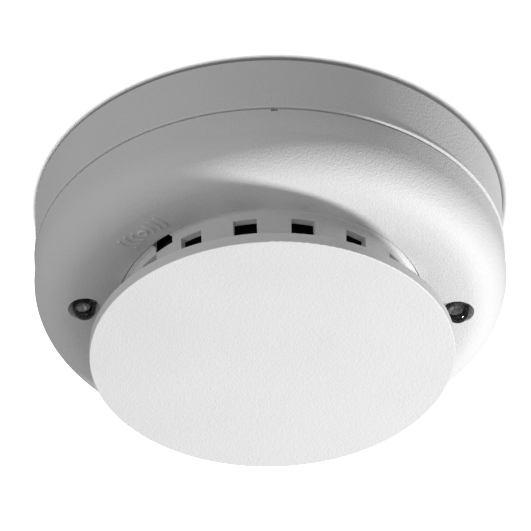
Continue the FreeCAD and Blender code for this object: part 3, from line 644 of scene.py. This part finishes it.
class HEAT_OT_lamps(bpy.types.Operator):
    """Put the lead frame, the cup and the bond wire inside both lamps"""
    bl_idname = "heat_detector.lamps"
    bl_label = "Lamp lead frames"

    def execute(self, context):
        steel = metal("lead_frame", (0.62, 0.62, 0.63), (0.42, 0.42, 0.43), 0.35,
                      (1.0, 1.0, 4.0))
        wires = wire_tree()
        for side in LAMP_SIDES:
            lamp_frame(side, wires, steel)
        return {"FINISHED"}


def base_ribs():
    """Two arcs and two spokes on the base's floor in each quarter between the terminals."""
    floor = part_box("terminal_screw_1")[1].z
    inner, outer = 12.5 * MM, 37.0 * MM
    spoke_start, spoke_end = inner + 2.0 * MM, outer - 1.8 * MM
    ribs = []
    for terminal in TERMINALS:
        ribs.append(ring_points(outer, floor, 20, terminal + 9.0, 72.0))
        ribs.append(ring_points(inner, floor, 16, terminal + 6.0, 78.0))
        ribs += [[around(spoke_start, terminal + turn, floor),
                  around(spoke_end, terminal + turn, floor)] for turn in (28.0, 62.0)]
    grown("base_ribs", path_data("ribs", ribs), wire_tree(), FINISHES["base"], "base",
          "base_plastic", Radius=0.75 * MM, Step=1.5 * MM)


def terminal_pips():
    """One to four pips, side by side, that tell the terminals apart."""
    circle, pitch = 22.4 * MM, 1.3 * MM
    pips = []
    for count, terminal in enumerate(TERMINALS, start=1):
        for index in range(count):
            spread = (index - (count - 1) / 2) * pitch
            pips.append(around(circle, terminal, BLOCK_LOW)
                        + around(1.0, terminal + 90.0) * spread)
    grown("terminal_pips", point_data("pips", pips),
          scatter_tree("GeometryNodeMeshUVSphere", Segments=20, Rings=12, Radius=0.4 * MM),
          FINISHES["base"], "base", "base_plastic", Seed=3, Least=1.0, Most=1.0)


class HEAT_OT_base_marks(bpy.types.Operator):
    """Mould stiffening ribs in the base's floor, and one to four pips beside the terminals"""
    bl_idname = "heat_detector.base_marks"
    bl_label = "Base ribs and pips"

    def execute(self, context):
        base_ribs()
        terminal_pips()
        return {"FINISHED"}


def rear_rings():
    """A hub ring and an outer ring on the back of the head, with six spokes between them."""
    hub, rim, gap = 8.0 * MM, 25.0 * MM, 0.7 * MM
    strokes = [whole_ring(rim, REAR_TOP), whole_ring(hub, REAR_TOP, 48)]
    strokes += [[around(hub + gap, turn, REAR_TOP), around(rim - gap, turn, REAR_TOP)]
                for turn in range(0, 360, 60)]
    grown("rear_rings", path_data("rings", strokes), wire_tree(), FINISHES["rear"], "head",
          "rear_plastic", Radius=0.45 * MM, Step=1.2 * MM)


def lock_chevrons():
    """Two nested arrowheads in each quarter, pointing the way in which the head locks."""
    inner, outer = 35.2 * MM, 37.8 * MM
    point = 2.0
    arrows = []
    for terminal in TERMINALS:
        for lag in (0.0, 2.2):
            turn = terminal + 17.0 + lag
            arrows.append([around(inner, turn, REAR_TOP),
                           around((inner + outer) / 2, turn + point, REAR_TOP),
                           around(outer, turn, REAR_TOP)])
    grown("lock_chevrons", path_data("chevrons", arrows), wire_tree(), FINISHES["rear"],
          "head", "rear_plastic", Radius=0.3 * MM, Step=0.5 * MM)


class HEAT_OT_rear_marks(bpy.types.Operator):
    """Mould rings and locking chevrons on the back of the head"""
    bl_idname = "heat_detector.rear_marks"
    bl_label = "Rear rings and chevrons"

    def execute(self, context):
        rear_rings()
        lock_chevrons()
        return {"FINISHED"}


class HEAT_OT_seal_lips(bpy.types.Operator):
    """Add the two thin lips that the seal ring presses against the base's wall"""
    bl_idname = "heat_detector.seal_lips"
    bl_label = "Seal lips"

    def execute(self, context):
        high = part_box("seal_ring")[1]
        rooted = high.x - 0.02 * MM
        lips = [ring_points(rooted, high.z - drop, 144) for drop in (0.45 * MM, 1.05 * MM)]
        grown("seal_lips", path_data("lips", lips, closed=True), wire_tree(),
              bpy.data.materials["seal_rubber"], "seal", "seal_rubber",
              Radius=0.22 * MM, Step=1.0 * MM)
        return {"FINISHED"}


def solder_joints(level):
    """A small cone of solder on every lead that comes through the back of the board."""
    solder = metal("solder", (0.72, 0.73, 0.75), (0.55, 0.56, 0.58), 0.25, (1.0, 1.0, 1.0))
    rim_circle, rim_start, rim_step = 38.9 * MM, 20.0, 12
    leads = []
    for side in LAMP_SIDES:
        low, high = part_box("led_" + side)
        middle = (low + high) / 2
        leads += [Vector((middle.x + step * MM, middle.y, level))
                  for step in (-LEAD_OFFSET, LEAD_OFFSET)]
    for name, spread in (("reservoir_capacitor", 1.0), ("reed_switch", 3.2)):
        low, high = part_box(name)
        middle = (low + high) / 2
        slant = Vector((0.7, -0.7, 0.0)) * spread * MM
        leads += [Vector((middle.x, middle.y, level)) + slant * way for way in (-1, 1)]
    leads += [around(rim_circle, turn + rim_start, level) for turn in range(0, 360, rim_step)]
    cone = {"Vertices": 20, "Radius Top": 0.25 * MM, "Radius Bottom": 0.85 * MM,
            "Depth": 0.7 * MM}
    grown("solder_joints", point_data("joints", leads),
          scatter_tree("GeometryNodeMeshCone", **cone), solder, "head", "plated_steel",
          Seed=11, Least=0.6, Most=0.8)


def board_outlines(level):
    """A printed outline round each of the larger components."""
    gap = 0.5 * MM
    outlines = []
    for name in OUTLINED_PARTS:
        low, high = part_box(name)
        left, right = low.x - gap, high.x + gap
        near, far = low.y - gap, high.y + gap
        outlines.append([Vector((x, y, level)) for x, y in (
            (left, near), (right, near), (right, far), (left, far))])
    ink = moulded_white("legend_ink", (0.75, 0.76, 0.72), 0.01 * MM, 0.3 * MM, 0.6)
    grown("board_outlines", path_data("outlines", outlines, closed=True), wire_tree(), ink,
          "head", "board_laminate", Radius=0.07 * MM, Step=0.5 * MM)


class HEAT_OT_board_details(bpy.types.Operator):
    """Solder the leads on the back of the board and print outlines round the components"""
    bl_idname = "heat_detector.board_details"
    bl_label = "Board details"

    def execute(self, context):
        low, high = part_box("circuit_board")
        solder_joints(high.z)
        board_outlines(low.z)
        return {"FINISHED"}


# ---- Stage ----

def one_sided(name, colour):
    """A matt ceiling that can be seen only from below."""
    finish = Finish(name, colour, 0.9)
    speckle = finish.noise(3 * MM, detail=3.0)
    finish.set("Base Color", finish.mix(speckle, shade(colour, 0.99), colour))
    back = finish.add("ShaderNodeNewGeometry", {}, out="Backfacing")
    clear = finish.add("ShaderNodeBsdfTransparent", {})
    shader = Wire(finish, finish.shader.outputs[0])
    mixed = finish.add("ShaderNodeMixShader", [back, shader, clear])
    output = finish.tree.nodes["Material Output"]
    finish.tree.links.new(mixed.socket, output.inputs["Surface"])
    return finish.material


def ceiling_sheet(half=3.0):
    """A square of ceiling that faces down and casts no light or shadow on the detector."""
    mesh = bpy.data.meshes.new("ceiling")
    corners = [(-half, half, CEILING_LEVEL), (half, half, CEILING_LEVEL),
               (half, -half, CEILING_LEVEL), (-half, -half, CEILING_LEVEL)]
    mesh.from_pydata(corners, [], [[0, 1, 2, 3]])
    mesh.materials.append(one_sided("ceiling_paint", (0.42, 0.42, 0.42)))
    piece = linked("ceiling", mesh)
    piece.visible_shadow = False
    piece.visible_diffuse = False
    piece.visible_glossy = False
    return piece


def area_light(name, towards, distance, width, power, only=None, without=None):
    """A round soft light in a direction from the detector; it may skip or pick out one piece."""
    aim = Vector((0.0, 0.0, -20.0 * MM))
    lamp = bpy.data.lights.new(name, "AREA")
    lamp.shape = "DISK"
    lamp.size = width
    lamp.energy = power
    piece = linked(name, lamp)
    piece.location = aim + Vector(towards).normalized() * distance
    piece.rotation_euler = (aim - piece.location).to_track_quat("-Z", "Y").to_euler()
    if only or without:
        receivers = bpy.data.collections.new(name + "_receivers")
        receivers.objects.link(only or without)
        piece.light_linking.receiver_collection = receivers
        if without:
            receivers.collection_objects[0].light_linking.link_state = "EXCLUDE"


def aim_camera():
    """The camera is below the ceiling in front of the detector, and looks up at it."""
    values = sizes()
    aim = Vector((-0.98 * MM, 0.0, -15.0 * MM))
    away, drop, roll = values.camera_distance, values.camera_drop, values.camera_roll
    place = Vector((0.0, -away * math.cos(drop), -away * math.sin(drop)))
    ahead = (aim - place).normalized()
    right = ahead.cross(Vector((0, 0, 1))).normalized()
    up = right.cross(ahead)
    rolled_right = right * math.cos(roll) + up * math.sin(roll)
    rolled_up = up * math.cos(roll) - right * math.sin(roll)
    camera = bpy.data.cameras.new("camera")
    camera.sensor_width = 36.0
    camera.lens = values.camera_lens
    camera.clip_end = 20.0
    piece = linked("camera", camera)
    piece.matrix_world = Matrix.Translation(place) @ Matrix(
        (rolled_right, rolled_up, -ahead)).transposed().to_4x4()
    bpy.context.scene.camera = piece


def studio_world(scene):
    """Even pale light from all round; the camera sees it as plain white."""
    world = bpy.data.worlds.new("studio")
    world.use_nodes = True
    tree = world.node_tree
    light = tree.nodes["Background"]
    light.inputs["Color"].default_value = (1, 1, 1, 1)
    light.inputs["Strength"].default_value = AMBIENT
    backdrop = tree.nodes.new("ShaderNodeBackground")
    backdrop.inputs["Color"].default_value = (1, 1, 1, 1)
    seen = tree.nodes.new("ShaderNodeLightPath")
    mixed = tree.nodes.new("ShaderNodeMixShader")
    tree.links.new(seen.outputs["Is Camera Ray"], mixed.inputs[0])
    tree.links.new(light.outputs[0], mixed.inputs[1])
    tree.links.new(backdrop.outputs[0], mixed.inputs[2])
    tree.links.new(mixed.outputs[0], tree.nodes["World Output"].inputs["Surface"])
    scene.world = world


class HEAT_OT_stage(bpy.types.Operator):
    """Add the ceiling, the lights and the camera"""
    bl_idname = "heat_detector.stage"
    bl_label = "Stage"

    def execute(self, context):
        ceiling = ceiling_sheet()
        aim_camera()
        area_light("key_light", towards=(0.67, 0.26, -0.695), distance=0.8, width=0.12,
                   power=6.0, without=ceiling)
        area_light("left_light", towards=(-0.75, -0.55, -0.45), distance=1.2, width=1.0,
                   power=2.9, without=ceiling)
        area_light("ceiling_light", towards=(-0.014, 0.051, -1.0), distance=1.5, width=0.2,
                   power=100.0, only=ceiling)
        area_light("upper_light", towards=(0.1, 0.1, 1.0), distance=1.6, width=0.8,
                   power=14.0, without=ceiling)
        studio_world(context.scene)
        context.scene.view_settings.view_transform = "Standard"
        return {"FINISHED"}


class HEAT_PT_panel(bpy.types.Panel):
    """The operators in the order in which they are run"""
    bl_label = "Heat detector"
    bl_idname = "HEAT_PT_panel"
    bl_space_type = "VIEW_3D"
    bl_region_type = "UI"
    bl_category = "Heat detector"

    def draw(self, context):
        for operator in OPERATORS:
            self.layout.operator(operator.bl_idname)
        for group in (context.scene.detector_sizes, context.scene.detector_colours):
            for name in group.__annotations__:
                self.layout.prop(group, name)


OPERATORS = (HEAT_OT_finishes, HEAT_OT_magnet_mark, HEAT_OT_lamps, HEAT_OT_base_marks,
             HEAT_OT_rear_marks, HEAT_OT_seal_lips, HEAT_OT_board_details, HEAT_OT_stage)
CLASSES = (DetectorSizes, DetectorColours, *OPERATORS, HEAT_PT_panel)


def register():
    for item in CLASSES:
        bpy.utils.register_class(item)
    bpy.types.Scene.detector_sizes = PointerProperty(type=DetectorSizes)
    bpy.types.Scene.detector_colours = PointerProperty(type=DetectorColours)


def unregister():
    del bpy.types.Scene.detector_colours
    del bpy.types.Scene.detector_sizes
    for item in reversed(CLASSES):
        bpy.utils.unregister_class(item)


def main():
    register()
    bpy.ops.heat_detector.finishes()
    bpy.ops.heat_detector.magnet_mark()
    bpy.ops.heat_detector.lamps()
    bpy.ops.heat_detector.base_marks()
    bpy.ops.heat_detector.rear_marks()
    bpy.ops.heat_detector.seal_lips()
    bpy.ops.heat_detector.board_details()
    bpy.ops.heat_detector.stage()


if __name__ == "__main__":
    main()
